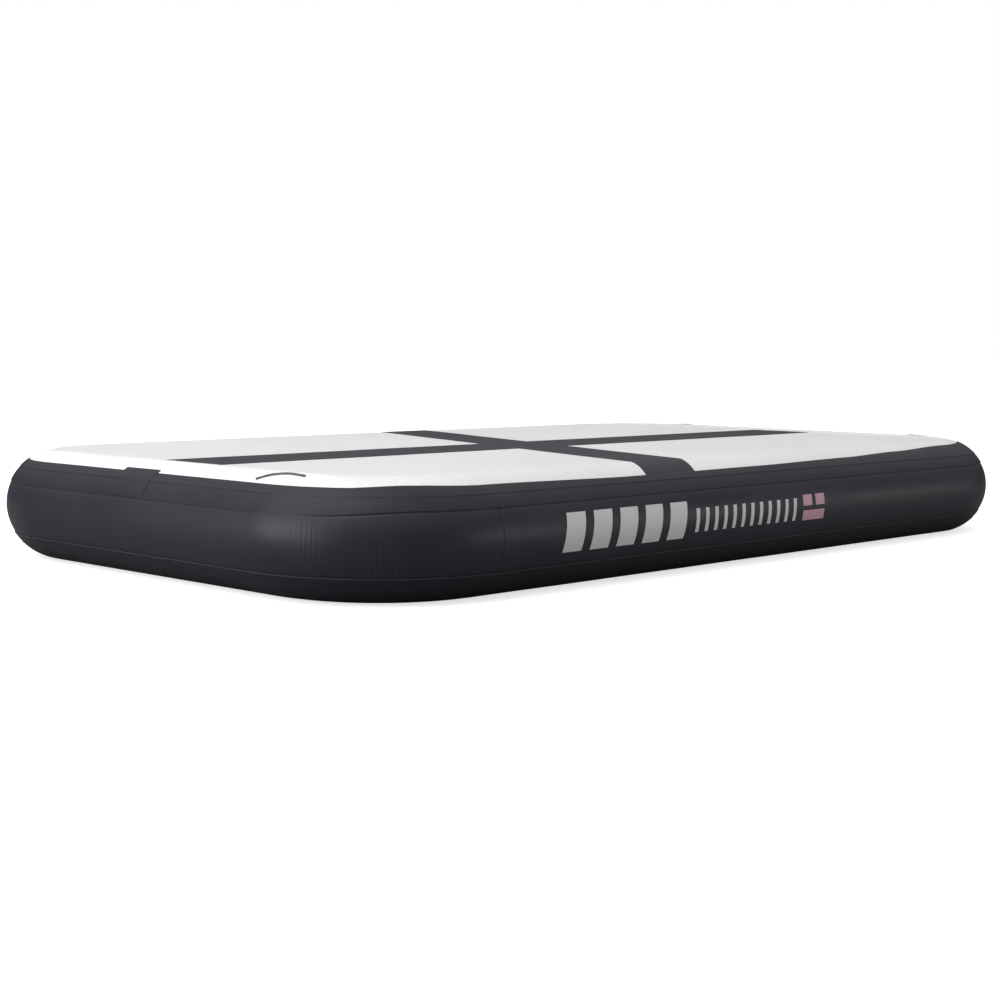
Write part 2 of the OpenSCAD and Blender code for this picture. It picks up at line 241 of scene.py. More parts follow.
class Tree:
    """Short way to write a node tree."""

    def __init__(self, tree):
        self.tree = tree

    def add(self, kind, inputs=None, **settings):
        node = self.tree.nodes.new(kind)
        for key, value in settings.items():
            setattr(node, key, value)
        for key, value in (inputs or {}).items():
            self.feed(node.inputs[key], value)
        return node

    def feed(self, socket, value):
        if isinstance(value, bpy.types.NodeSocket):
            self.tree.links.new(value, socket)
        else:
            socket.default_value = value

    def math(self, operation, *values):
        node = self.add("ShaderNodeMath", operation=operation)
        for socket, value in zip(node.inputs, values):
            self.feed(socket, value)
        return node.outputs[0]

    def ramp(self, value, low, high, to_low=0.0, to_high=1.0):
        node = self.add("ShaderNodeMapRange", interpolation_type="SMOOTHSTEP")
        for socket, given in zip(node.inputs, (value, low, high, to_low, to_high)):
            self.feed(socket, given)
        return node.outputs["Result"]

    def noise(self, vector, scale, detail=2.0, rough=0.5):
        node = self.add("ShaderNodeTexNoise", {"Vector": vector, "Scale": scale})
        node.inputs["Detail"].default_value = detail
        node.inputs["Roughness"].default_value = rough
        return node.outputs["Fac"]

    def mix(self, share, first, second):
        node = self.add("ShaderNodeMix", data_type="RGBA")
        self.feed(node.inputs["Factor"], share)
        for socket, value in ((node.inputs[6], first), (node.inputs[7], second)):
            self.feed(socket, (*value, 1) if isinstance(value, tuple) else value)
        return node.outputs[2]


def new_group(name, ins, outs):
    """Shader node group with named sockets; gives its Tree, inputs, outputs and node tree."""
    tree = bpy.data.node_groups.new(name, "ShaderNodeTree")
    for socket, kind in ins.items():
        tree.interface.new_socket(socket, in_out="INPUT", socket_type=kind)
    for socket in outs:
        tree.interface.new_socket(socket, in_out="OUTPUT", socket_type="NodeSocketFloat")
    made = Tree(tree)
    entry = made.add("NodeGroupInput")
    return made, entry.outputs, made.add("NodeGroupOutput").inputs, tree


def stripes(t, value, pitch, sharp):
    """Rounded ridges across a coordinate."""
    wave = t.math("SINE", t.math("DIVIDE", t.math("MULTIPLY", value, FULL), pitch))
    return t.math("POWER", t.math("MULTIPLY_ADD", wave, 0.5, 0.5), sharp)


def diamond_emboss():
    """Crossed diagonal ridges rolled into the deck's coating."""
    t, given, out, tree = new_group(
        "diamond_emboss",
        {"Cloth": "NodeSocketVector", "Pitch": "NodeSocketFloat"},
        ("Height", "Line"),
    )
    place = t.add("ShaderNodeSeparateXYZ", {"Vector": given["Cloth"]}).outputs
    rise = t.math("MULTIPLY", place["Y"], 1.35)
    first = stripes(t, t.math("ADD", place["X"], rise), given["Pitch"], 3.0)
    second = stripes(t, t.math("SUBTRACT", place["X"], rise), given["Pitch"], 3.0)
    line = t.math("MAXIMUM", first, second)
    pebble = t.noise(given["Cloth"], 1500, 2)
    # Line is the ridge mask that the deck materials use for their painted highlight on ridges and painted
    # shade between them
    t.feed(out["Line"], line)
    t.feed(out["Height"], t.math("MULTIPLY_ADD", pebble, 0.35, line))
    return tree


def cloth_weave():
    """Basket weave of the base cloth that shows through a coating."""
    t, given, out, tree = new_group(
        "cloth_weave",
        {"Cloth": "NodeSocketVector", "Pitch": "NodeSocketFloat"},
        ("Height",),
    )
    place = t.add("ShaderNodeSeparateXYZ", {"Vector": given["Cloth"]}).outputs
    across = stripes(t, place["X"], given["Pitch"], 1.0)
    along = stripes(t, place["Y"], given["Pitch"], 1.0)
    t.feed(out["Height"], t.math("MULTIPLY", across, along))
    return tree


def handling_marks():
    """Soft blotches and fine scuffs from use and folding."""
    t, given, out, tree = new_group(
        "handling_marks",
        {"Vector": "NodeSocketVector", "Scale": "NodeSocketFloat"},
        ("Blotch", "Scuff"),
    )
    blotch = t.noise(given["Vector"], given["Scale"], 3, 0.55)
    t.feed(out["Blotch"], t.ramp(blotch, 0.3, 0.7))
    stretch = t.add("ShaderNodeMapping", {"Vector": given["Vector"], "Scale": (1, 14, 9)})
    fine = t.noise(stretch.outputs[0], t.math("MULTIPLY", given["Scale"], 9), 4, 0.6)
    t.feed(out["Scuff"], t.ramp(fine, 0.63, 0.72))
    return tree


def corner_ribs():
    """Fine upright ribs where the wall's cloth is gathered round a corner."""
    t, given, out, tree = new_group(
        "corner_ribs",
        {"Cloth": "NodeSocketVector", "Corner": "NodeSocketFloat"},
        ("Height",),
    )
    place = t.add("ShaderNodeSeparateXYZ", {"Vector": given["Cloth"]}).outputs
    sway = t.math("MULTIPLY", t.noise(given["Cloth"], 25, 1), 0.006)
    ribs = stripes(t, t.math("ADD", place["X"], sway), 4.3 * MM, 1.0)
    patches = t.ramp(t.noise(given["Cloth"], 16, 1), 0.42, 0.62)
    share = t.math("MULTIPLY", t.ramp(given["Corner"], 0.45, 1.0), patches)
    t.feed(out["Height"], t.math("MULTIPLY", ribs, share))
    return tree


def moulded_grain():
    """Fine spark-eroded grain and faint flow marks of a moulded part."""
    t, given, out, tree = new_group(
        "moulded_grain",
        {"Vector": "NodeSocketVector", "Scale": "NodeSocketFloat"},
        ("Height", "Blotch"),
    )
    t.feed(out["Height"], t.noise(given["Vector"], given["Scale"], 3, 0.6))
    t.feed(out["Blotch"], t.ramp(t.noise(given["Vector"], 90, 2), 0.3, 0.7))
    return tree


EMBOSS, WEAVE, MARKS = diamond_emboss(), cloth_weave(), handling_marks()
RIBS, GRAIN = corner_ribs(), moulded_grain()

# ---------------------------------------------------------------- materials

RIDGE_PITCH = 4.6 * MM  # of the deck's emboss
THREAD_PITCH = 1.3 * MM
WEAVE_DEPTH = 0.03 * MM  # how far the threads show through a coating


def place_group(t, group, inputs):
    node = t.add("ShaderNodeGroup", node_tree=group)
    for key, value in inputs.items():
        t.feed(node.inputs[key], value)
    return node.outputs


def new_material(name, **finish):
    """Material with a Principled shader, whose constant inputs are given by name."""
    material = bpy.data.materials.new(name)
    material.use_nodes = True
    t = Tree(material.node_tree)
    shader = material.node_tree.nodes["Principled BSDF"]
    for key, value in finish.items():
        shader.inputs[key.replace("_", " ")].default_value = value
    return material, t, shader


def bump(t, shader, height, depth):
    node = t.add("ShaderNodeBump", {"Height": height, "Distance": depth, "Strength": 1.0})
    t.feed(shader.inputs["Normal"], node.outputs[0])


def cloth_place(t):
    """A sheet's own cloth coordinates, in metres."""
    return t.add("ShaderNodeUVMap", uv_map="cloth").outputs[0]


def object_place(t):
    return t.add("ShaderNodeTexCoord").outputs["Object"]


def deck_material(name, ridge, ground, rough, depth, shine=0.4):
    """Embossed coated cloth, with painted light on its emboss: the ridge lines are coloured lighter as
    painted highlight, and the ground between them darker as painted shade.
    """
    material, t, shader = new_material(name, Specular_IOR_Level=shine, Sheen_Weight=0.05)
    cloth = cloth_place(t)
    emboss = place_group(t, EMBOSS, {"Cloth": cloth, "Pitch": RIDGE_PITCH})
    marks = place_group(t, MARKS, {"Vector": object_place(t), "Scale": 7})
    # painted highlight on the emboss ridges and painted shade on the ground between them, masked by the
    # ridge lines
    colour = t.mix(emboss["Line"], ground, ridge)
    dulled = tuple(0.965 * c for c in ground)
    share = t.math("MULTIPLY", marks["Blotch"], 0.45)
    t.feed(shader.inputs["Base Color"], t.mix(share, colour, dulled))
    t.feed(shader.inputs["Roughness"], t.ramp(marks["Scuff"], 0, 1, rough, rough - 0.12))
    bump(t, shader, emboss["Height"], depth)
    return material


def smooth_cloth(name, colour, rough, blotch=0.12):
    """Coated cloth with a smooth satin face, the weave only just showing through."""
    material, t, shader = new_material(name, Specular_IOR_Level=0.5)
    cloth = cloth_place(t)
    marks = place_group(t, MARKS, {"Vector": object_place(t), "Scale": 11})
    threads = place_group(t, WEAVE, {"Cloth": cloth, "Pitch": THREAD_PITCH})
    pale = tuple(min(1.0, c * (1 + blotch) + 0.004) for c in colour)
    t.feed(shader.inputs["Base Color"], t.mix(marks["Blotch"], colour, pale))
    t.feed(shader.inputs["Roughness"], t.ramp(marks["Blotch"], 0, 1, rough, rough + 0.07))
    bump(t, shader, threads["Height"], WEAVE_DEPTH)
    return material


def wall_cloth(name, colour, rough, shine):
    """Coated cloth of the wall and rails: satin, ribbed and scuffed at the corners."""
    material, t, shader = new_material(name, Specular_IOR_Level=shine, Coat_Weight=0.08)
    shader.inputs["Coat Roughness"].default_value = 0.38
    cloth = cloth_place(t)
    corner = t.add("ShaderNodeAttribute", attribute_name="corner").outputs["Fac"]
    marks = place_group(t, MARKS, {"Vector": object_place(t), "Scale": 12})
    threads = place_group(t, WEAVE, {"Cloth": cloth, "Pitch": THREAD_PITCH})
    ribs = place_group(t, RIBS, {"Cloth": cloth, "Corner": corner})
    pale = tuple(c * 1.16 + 0.002 for c in colour)
    worn = tuple(c * 1.5 + 0.01 for c in colour)
    ground = t.mix(marks["Blotch"], colour, pale)
    t.feed(shader.inputs["Base Color"], t.mix(t.math("MULTIPLY", marks["Scuff"], 0.18), ground, worn))
    t.feed(shader.inputs["Roughness"], t.ramp(marks["Blotch"], 0, 1, rough, rough + 0.08))
    height = t.math("MULTIPLY_ADD", ribs["Height"], 3.2, t.math("MULTIPLY", threads["Height"], 0.35))
    bump(t, shader, height, 0.06 * MM)
    return material


def moulded(name, colour, rough, grain, depth, **finish):
    """Moulded plastic or rubber."""
    material, t, shader = new_material(name, **finish)
    place = object_place(t)
    surface = place_group(t, GRAIN, {"Vector": place, "Scale": grain})
    marks = place_group(t, MARKS, {"Vector": place, "Scale": 60})
    pale = tuple(c * 1.25 + 0.004 for c in colour)
    share = t.math("MULTIPLY_ADD", marks["Scuff"], 0.5, t.math("MULTIPLY", surface["Blotch"], 0.3))
    t.feed(shader.inputs["Base Color"], t.mix(share, colour, pale))
    t.feed(shader.inputs["Roughness"], t.ramp(surface["Blotch"], 0, 1, rough, rough + 0.1))
    bump(t, shader, surface["Height"], depth)
    return material


def bare_cloth(name, colour, pitch):
    """Uncoated woven or yarn surface on the hidden parts."""
    material, t, shader = new_material(name, Roughness=0.85, Sheen_Weight=0.2)
    place = object_place(t)
    threads = place_group(t, WEAVE, {"Cloth": place, "Pitch": pitch})
    dark = tuple(0.8 * c for c in colour)
    t.feed(shader.inputs["Base Color"], t.mix(threads["Height"], dark, colour))
    bump(t, shader, threads["Height"], 0.15 * MM)
    return material


def printed_ink(name, colour):
    material, t, shader = new_material(name, Specular_IOR_Level=0.5)
    marks = place_group(t, MARKS, {"Vector": object_place(t), "Scale": 40})
    threads = place_group(t, WEAVE, {"Cloth": cloth_place(t), "Pitch": THREAD_PITCH})
    rubbed = tuple(0.86 * c for c in colour)
    t.feed(shader.inputs["Base Color"], t.mix(t.math("MULTIPLY", marks["Scuff"], 0.6), colour, rubbed))
    t.feed(shader.inputs["Roughness"], t.ramp(marks["Blotch"], 0, 1, 0.42, 0.5))
    bump(t, shader, threads["Height"], WEAVE_DEPTH)
    return material


def drawn_wire():
    material, t, shader = new_material("drawn_wire", Metallic=1.0)
    place = t.add("ShaderNodeMapping", {"Vector": object_place(t), "Scale": (1, 6, 6)})
    streaks = t.noise(place.outputs[0], 900, 3)
    t.feed(shader.inputs["Base Color"], t.mix(streaks, (0.5, 0.5, 0.5), (0.66, 0.66, 0.65)))
    t.feed(shader.inputs["Roughness"], t.ramp(streaks, 0, 1, 0.2, 0.38))
    return material


# in each deck material the first colour is the emboss ridges' painted highlight and the second the
# ground's painted shade
deck_cloth = deck_material("deck_cloth", (0.90, 0.91, 0.905), (0.80, 0.815, 0.80), 0.5, 0.16 * MM)
stripe_cloth = deck_material(
    "stripe_cloth", (0.040, 0.041, 0.052), (0.031, 0.032, 0.041), 0.6, 0.12 * MM, 0.12
)
band_cloth = smooth_cloth("band_cloth", (0.90, 0.93, 0.94), 0.42, blotch=0.02)
side_cloth = wall_cloth("side_cloth", (0.0185, 0.0195, 0.0285), 0.4, 0.3)
rail_cloth = wall_cloth("rail_cloth", (0.0150, 0.0158, 0.0235), 0.4, 0.25)
bottom_cloth = smooth_cloth("bottom_cloth", (0.03, 0.031, 0.036), 0.5)
cut_edge = bare_cloth("cut_edge", (0.085, 0.085, 0.092), 0.8 * MM)
white_ink = printed_ink("white_ink", (0.72, 0.69, 0.71))
pink_ink = printed_ink("pink_ink", (0.62, 0.36, 0.43))
dried_glue = moulded("dried_glue", (0.09, 0.088, 0.08), 0.45, 900, 0.05 * MM)
valve_plastic = moulded("valve_plastic", (0.022, 0.023, 0.025), 0.42, 2600, 0.02 * MM)
stem_plastic = moulded("stem_plastic", (0.2, 0.21, 0.23), 0.36, 2200, 0.015 * MM)
tether_plastic = moulded(
    "tether_plastic", (0.03, 0.03, 0.034), 0.55, 2600, 0.02 * MM, Subsurface_Weight=0.02
)
seal_rubber = moulded("seal_rubber", (0.018, 0.018, 0.018), 0.62, 3000, 0.02 * MM)
base_cloth = bare_cloth("base_cloth", (0.62, 0.62, 0.6), THREAD_PITCH)
yarn_cloth = bare_cloth("yarn_cloth", (0.75, 0.74, 0.7), 0.6 * MM)
inner_cloth = bare_cloth("inner_cloth", (0.28, 0.28, 0.3), THREAD_PITCH)
spring_wire = drawn_wire()

# ---------------------------------------------------------------- making pieces

CORNER_STEPS = 66
END_STEPS, LONG_STEPS = 128, 180
FLAT_RIM = (3 * MM, 7 * MM)  # rows of the flat deck beside its shoulder
FLAT_GRID = 14 * MM  # squares of the flat deck, small enough for the cloth's slow waves
JOIN = 0.01 * MM  # vertices nearer than this are one


def turn_out(bm):
    """Makes every face of an open sheet look out of the board."""
    bm.normal_update()
    wrong = [f for f in bm.faces if f.normal.dot(outward(f.calc_center_median())) < 0]
    if wrong:
        bmesh.ops.reverse_faces(bm, faces=wrong)


def lay_cloth(bm, flat):
    """Gives every face corner its cloth coordinates, and every vertex its corner share."""
    layer = bm.loops.layers.uv.new("cloth")
    corner = bm.verts.layers.float.new("corner")
    for face in bm.faces:
        half = 1 if face.calc_center_median().y >= 0 else -1
        for loop in face.loops:
            co = loop.vert.co
            loop[layer].uv = unrolled(co) if flat else round_outline(co, half)
    for vert in bm.verts:
        vert[corner] = corner_share(vert.co)


def add_piece(name, bm, materials, body, replaced=()):
    """Turns a bmesh into a piece that rides on a body."""
    mesh = bpy.data.meshes.new(name)
    bm.to_mesh(mesh)
    bm.free()
    mesh.polygons.foreach_set("use_smooth", [True] * len(mesh.polygons))
    piece = bpy.data.objects.new(name, mesh)
    bpy.context.scene.collection.objects.link(piece)
    for material in materials:
        mesh.materials.append(material)
    if body:
        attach(piece, body)
    if replaced:
        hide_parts(*replaced)
    return piece


def add_sheet(name, bm, thick, materials, replaced, flat):
    """A sheet: its outer face is the bmesh, and it gets its thickness inwards."""
    turn_out(bm)
    lay_cloth(bm, flat)
    piece = add_piece(name, bm, materials, "mat", replaced)
    solid = piece.modifiers.new("thickness", "SOLIDIFY")
    solid.thickness = thick
    solid.offset = -1
    solid.material_offset_rim = len(materials) - 1
    edge = piece.modifiers.new("edge", "BEVEL")
    edge.width = 0.22 * thick
    edge.segments = 2
    edge.limit_method = "ANGLE"
    edge.angle_limit = 50 * DEG
    edge.harden_normals = True
    return piece


def section(bm, start, stops, lift):
    """Stands a section on the valve side's first corner: from an angle through its stops."""
    centre = Vector((CORE_X + SECTION_S, -CORE_Y, WALL_Z))
    reach = WALL_R + lift
    first = centre + Vector((reach * math.cos(start), 0, reach * math.sin(start)))
    geometry = [bm.verts.new(first)]
    angle = start
    for stop, steps in stops:
        geometry = bmesh.ops.spin(
            bm, geom=geometry, cent=centre, axis=(0, 1, 0), angle=angle - stop, steps=steps
        )["geom_last"]
        angle = stop
    return [g for g in geometry if isinstance(g, bmesh.types.BMVert)][0]


def extend_flat(bm, vert, distances):
    """Carries a section's end inwards along the flat deck."""
    for distance in distances:
        made = bmesh.ops.extrude_vert_indiv(bm, verts=[vert])["verts"]
        bmesh.ops.translate(bm, verts=made, vec=(-distance, 0, 0))
        vert = made[0]


def run_straight(bm, geometry, step, steps):
    return bmesh.ops.spin(bm, geom=geometry, axis=UP, dvec=step, angle=0, steps=steps)["geom_last"]


def run_corner(bm, geometry, x, y):
    return bmesh.ops.spin(
        bm, geom=geometry, cent=(x, y, 0), axis=UP, angle=math.pi / 2, steps=CORNER_STEPS
    )["geom_last"]


def sweep(bm):
    """Sweeps a section along the valve side and the back, and turns a copy to close the outline."""
    geometry = bm.verts[:] + bm.edges[:]
    geometry = run_straight(bm, geometry, (0, 2 * CORE_Y / END_STEPS, 0), END_STEPS)
    geometry = run_corner(bm, geometry, CORE_X, CORE_Y)
    geometry = run_straight(bm, geometry, (-2 * CORE_X / LONG_STEPS, 0, 0), LONG_STEPS)
    run_corner(bm, geometry, -CORE_X, CORE_Y)
    copy = bmesh.ops.duplicate(bm, geom=bm.verts[:] + bm.edges[:] + bm.faces[:])["geom"]
    other = [g for g in copy if isinstance(g, bmesh.types.BMVert)]
    bmesh.ops.rotate(bm, verts=other, cent=(0, 0, 0), matrix=HALF_TURN)
    bmesh.ops.remove_doubles(bm, verts=bm.verts, dist=JOIN)


def slice_grid(bm, faces, pitch):
    """Cuts flat faces into squares."""
    for axis, reach in ((Vector((1, 0, 0)), wall_high.x), (Vector((0, 1, 0)), wall_high.y)):
        for i in range(-int(reach / pitch), int(reach / pitch) + 1):
            live = [f for f in faces if f.is_valid]
            parts = set(live) | {e for f in live for e in f.edges} | {v for f in live for v in f.verts}
            made = bmesh.ops.bisect_plane(
                bm, geom=list(parts), plane_co=axis * i * pitch, plane_no=axis, dist=0.02 * MM
            )
            faces = list({g for g in made["geom"] if isinstance(g, bmesh.types.BMFace)} | set(live))
    return faces


def fill_middle(bm):
    """Closes the flat middle of a deck or bottom sheet."""
    rim = [e for e in bm.edges if e.is_boundary and from_core(e.verts[0].co)[2] < FLAT_S - 1 * MM]
    made = bmesh.ops.contextual_create(bm, geom=rim)["faces"]
    slice_grid(bm, made, FLAT_GRID)


def relieve(bm, lift_at=None):
    """Moves every vertex off the true shape by the cloth's give and a piece's own relief."""
    moves = []
    for vert in bm.verts:
        lift = give(vert.co) + (lift_at(vert.co) if lift_at else 0)
        moves.append(vert.co + outward(vert.co) * lift)
    for vert, co in zip(bm.verts, moves):
        vert.co = co


def near_joint(co):
    """1 over the wall's two joint strips, and 0 elsewhere."""
    if abs(co.y) < CORE_Y:
        return 0.0
    middle = JOINT_X if co.y < 0 else -JOINT_X
    half = JOINT_W / 2
    return smooth(half + 2.5 * MM, half - 0.5 * MM, abs(co.x - middle))


# ---------------------------------------------------------------- deck and bottom


def face_sheet(sign):
    """Deck or bottom sheet: flat in the middle and wrapped over its shoulder."""
    bm = bmesh.new()
    end = section(bm, sign * SHEET_END, [(sign * WALL_ANGLE, 12)], 0)
    extend_flat(bm, end, FLAT_RIM)
    sweep(bm)
    fill_middle(bm)
    relieve(bm)
    return bm


deck_skin = add_sheet(
    "deck_skin", face_sheet(1), SHEET, [deck_cloth], ["deck_sheet"], True
)
bottom_skin = add_sheet(
    "bottom_skin", face_sheet(-1), SHEET, [bottom_cloth], ["bottom_sheet"], True
)


def end_band(name, start, turned, replaced):
    """Smooth band over one end of the deck and its two corners."""
    bm = bmesh.new()
    end = section(bm, UPPER_TOP + 0.5 * DEG, [(WALL_ANGLE, 9)], PRINT_LIFT)
    extend_flat(bm, end, FLAT_RIM)
    bmesh.ops.rotate(
        bm, verts=bm.verts, cent=(CORE_X, -CORE_Y, 0), matrix=Matrix.Rotation(-math.pi / 2, 3, "Z")
    )
    geometry = run_corner(bm, bm.verts[:] + bm.edges[:], CORE_X, -CORE_Y)
    geometry = run_straight(bm, geometry, (0, 2 * CORE_Y / END_STEPS, 0), END_STEPS)
    run_corner(bm, geometry, CORE_X, CORE_Y)
    bmesh.ops.remove_doubles(bm, verts=bm.verts, dist=JOIN)
    inside = FLAT_S - sum(FLAT_RIM) + 1 * MM
    rim = [e for e in bm.edges if e.is_boundary and all(from_core(v.co)[2] < inside for v in e.verts)]
    inner = {v for e in rim for v in e.verts}
    rim.append(bm.edges.new([v for v in inner if abs(v.co.x - CORE_X) < 0.1 * MM]))
    made = bmesh.ops.contextual_create(bm, geom=rim)["faces"]
    slice_grid(bm, made, FLAT_GRID)
    bmesh.ops.bisect_plane(
        bm,
        geom=bm.verts[:] + bm.edges[:] + bm.faces[:],
        plane_co=(start, 0, 0),
        plane_no=(-1, 0, 0),
        clear_outer=True,
        dist=0.02 * MM,
    )
    if turned:
        bmesh.ops.rotate(bm, verts=bm.verts, cent=(0, 0, 0), matrix=HALF_TURN)
    relieve(bm)
    add_sheet(name, bm, PRINT, [band_cloth], [replaced], True)


end_band("left_band", LEFT_BAND, True, "left_end_band")
end_band("right_band", RIGHT_BAND, False, "right_end_band")


def stripe(name, width, middle, reach, skew, along_x, gap, replaced):
    """Stripe, drawn unrolled and then draped over the deck, with a gap where another crosses."""
    bm = bmesh.new()
    bmesh.ops.create_grid(bm, x_segments=8, y_segments=120, size=0.5)
    for vert in bm.verts:
        across, run = vert.co.x * width, vert.co.y * 2 * reach
        x, y = across + math.tan(skew) * run, run
        vert.co = Vector((y, x, 0)) if along_x else Vector((x, y, 0))
    bmesh.ops.translate(bm, verts=bm.verts, vec=middle)
    for edge in gap:
        bmesh.ops.bisect_plane(
            bm,
            geom=bm.verts[:] + bm.edges[:] + bm.faces[:],
            plane_co=(0, edge, 0),
            plane_no=(0, 1, 0),
            dist=JOIN,
        )
    hidden = [f for f in bm.faces if gap and gap[0] < f.calc_center_median().y < gap[1]]
    bmesh.ops.delete(bm, geom=hidden, context="FACES")
    for vert in bm.verts:
        vert.co = draped(Vector((vert.co.x, vert.co.y, PRINT_LIFT)))
    relieve(bm)
    add_sheet(name, bm, PRINT, [stripe_cloth], [replaced], True)


CROSS_X, CROSS_W, CROSS_SKEW = -35 * MM, 68 * MM, 18 * DEG
CROSS_END = 50 * DEG  # hidden under the upper rail's top edge
CLEAR = 0.1 * MM  # between two prints

stripe_low, stripe_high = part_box("long_stripe")
stripe(
    "long_stripe_print",
    stripe_high.y - stripe_low.y,
    ((RIGHT_BAND - LEFT_BAND) / 2, (stripe_low.y + stripe_high.y) / 2, 0),
    (RIGHT_BAND + LEFT_BAND) / 2 - CLEAR,
    0,
    True,
    (),
    "long_stripe",
)
stripe(
    "cross_stripe_print",
    CROSS_W,
    (CROSS_X, 0, 0),
    CORE_Y + FLAT_S + WALL_R * (WALL_ANGLE - CROSS_END),
    CROSS_SKEW,
    False,
    (stripe_low.y - CLEAR, stripe_high.y + CLEAR),
    "cross_stripe",
)

# ---------------------------------------------------------------- wall and rails


def rolled(co, shift, lift):
    """A point of the wall, moved round the wall's section by an angle."""
    core, out, _ = from_core(co)
    angle = wall_angle(co) + shift
    reach = WALL_R + lift
    return core + out * (SECTION_S + reach * math.cos(angle)) + UP * (
        WALL_Z + reach * math.sin(angle)
    )


def rail_low(co):
    """How far the upper rail's lower edge wanders down the wall at the end without the valve."""
    _, out, distance = from_core(co)
    return -5 * DEG * smooth(0.5, 1.0, -out.x) if distance > 1e-6 else 0.0


def wall_relief(co):
    """A crease beside each rail tape, and a shallow dip under the valve's patch."""
    angle = wall_angle(co)
    above = hump(UPPER_LOW - 1 * DEG + rail_low(co), 1.6 * DEG, angle)
    crease = above + 0.6 * hump(LOWER_TOP + 0.8 * DEG, 1.4 * DEG, angle)
    under_patch = smooth(PATCH_R, PATCH_R - 2 * MM, valve_radius(co)) if co.x > CORE_X else 0
    return MM * (-0.45 * crease - 0.25 * under_patch)


def wall_sheet():
    """Outer side wall, drawn in round the valve and cut through for its barrel."""
    bm = bmesh.new()
    stops = [(-32 * DEG, 3), (-26 * DEG, 8), (25 * DEG, 15), (31.5 * DEG, 9), (WALL_TOP, 4)]
    section(bm, WALL_LOW, stops, 0)
    sweep(bm)
    for vert in bm.verts:
        follow = rail_low(vert.co) * smooth(-20 * DEG, 25 * DEG, wall_angle(vert.co))
        vert.co = pressed(rolled(vert.co, follow, 0), 0)
    relieve(bm, wall_relief)
    through = [
        f
        for f in bm.faces
        if f.verts[0].co.x > CORE_X and min(valve_radius(v.co) for v in f.verts) < WALL_HOLE_R
    ]
    bmesh.ops.delete(bm, geom=through, context="FACES")
    return bm


side_wall = add_sheet(
    "side_wall", wall_sheet(), SHEET, [side_cloth], ["outer_side_wall"], False
)


# Distance in mm along the front from the board's middle, and the tape's shift there in degrees
RAIL_WANDER = (
    (-500, 0),
    (-440, 3.5),
    (-360, 0.5),
    (-180, -3),
    (0, -2),
    (150, 0.7),
    (250, 5),
    (350, 11),
    (430, 14),
    (500, 9),
    (570, 0),
)


def rail_top(co):
    """How far the upper rail's top edge wanders up or down its shoulder, as an angle."""
    if co.y > -CORE_Y + 60 * MM:
        return 0.0
    core, out, _ = from_core(co)
    round_corner = math.atan2(abs(out.x), -out.y) * CORNER_R if abs(core.x) >= CORE_X - 1e-6 else 0.0
    along = (core.x + math.copysign(round_corner, core.x)) / MM
    for (low, start), (high, end) in zip(RAIL_WANDER, RAIL_WANDER[1:]):
        if low <= along <= high:
            return (start + (end - start) * smooth(low, high, along)) * DEG
    return 0.0


def notched(low, high):
    """Move that lays a rail's edges as they wander, and cuts it back round the valve's patch."""

    def move(co):
        angle = wall_angle(co)
        if co.x < CORE_X or abs(co.y) > NOTCH_R:
            shift = rail_top(co) * smooth(SHEET_EDGE, UPPER_TOP, angle)
            if angle > 0:
                shift += rail_low(co) * smooth(SHEET_EDGE - 2 * DEG, UPPER_LOW, angle)
            return rolled(co, shift, TAPE_LIFT)
        sign = 1 if angle > 0 else -1
        clear = math.sqrt(max(0.0, NOTCH_R**2 - co.y**2)) / (WALL_R + TAPE_LIFT)
        near = max(low, math.asin(min(0.98, clear)))
        share = (abs(angle) - low) / (high - low)
        return on_wall("valve", co.y, sign * (near + share * (high - near)), TAPE_LIFT)

    return move


def rail_relief(co):
    """The sheet's edge, the joint strips and pressed-down edges showing through a tape."""
    angle = wall_angle(co)
    ledge = smooth(SHEET_EDGE - 0.9 * DEG, SHEET_EDGE + 0.2 * DEG, abs(angle))
    lip = hump(SHEET_EDGE + 0.7 * DEG, 1.6 * DEG, abs(angle))
    strip = near_joint(co) * smooth(SHEET_EDGE + 2 * DEG, WALL_TOP, abs(angle))
    return MM * (0.28 * ledge + 0.14 * lip + 0.5 * strip)


def rail(name, start, stops, replaced):
    """Rail tape all round the board, over the seam of the wall with the deck or bottom."""
    bm = bmesh.new()
    section(bm, start, stops, TAPE_LIFT)
    sweep(bm)
    ends = sorted((abs(start), abs(stops[-1][0])))
    move = notched(*ends)
    for vert in bm.verts:
        vert.co = move(vert.co)
    relieve(bm, rail_relief)
    piece = add_sheet(name, bm, TAPE, [rail_cloth, cut_edge], [replaced], False)


rail(
    "upper_rail",
    UPPER_LOW,
    [(32 * DEG, 2), (41 * DEG, 4), (46.5 * DEG, 8), (53 * DEG, 4), (UPPER_TOP, 2)],
    "upper_rail_tape",
)
rail(
    "lower_rail",
    LOWER_LOW,
    [(-60 * DEG, 4), (-46.5 * DEG, 6), (-41 * DEG, 8), (-34 * DEG, 4), (LOWER_TOP, 2)],
    "lower_rail_tape",
)


def wall_patch(bm, side, middle, width, low, high, lift, lean=0.0, cells=(8, 20)):
    """Adds one flat cut, laid on a straight side of the wall between two angles."""
    made = bmesh.ops.create_grid(bm, x_segments=cells[0], y_segments=cells[1], size=0.5)["verts"]
    for vert in made:
        along = middle + vert.co.x * width + lean * vert.co.y
        vert.co = on_wall(side, along, low + (vert.co.y + 0.5) * (high - low), lift)
    return made


def joint_tape(name, side, middle, replaced):
    """Upright strip over a joint of the wall, between the two rails."""
    bm = bmesh.new()
    wall_patch(
        bm, side, middle, JOINT_W, LOWER_TOP + 0.4 * DEG, UPPER_LOW - 0.4 * DEG, JOINT_LIFT
    )
    relieve(bm)
    add_sheet(name, bm, JOINT, [side_cloth, cut_edge], [replaced], False)


joint_tape("front_joint_tape", "front", JOINT_X, "front_joint_strip")
joint_tape("back_joint_tape", "back", -JOINT_X, "back_joint_strip")


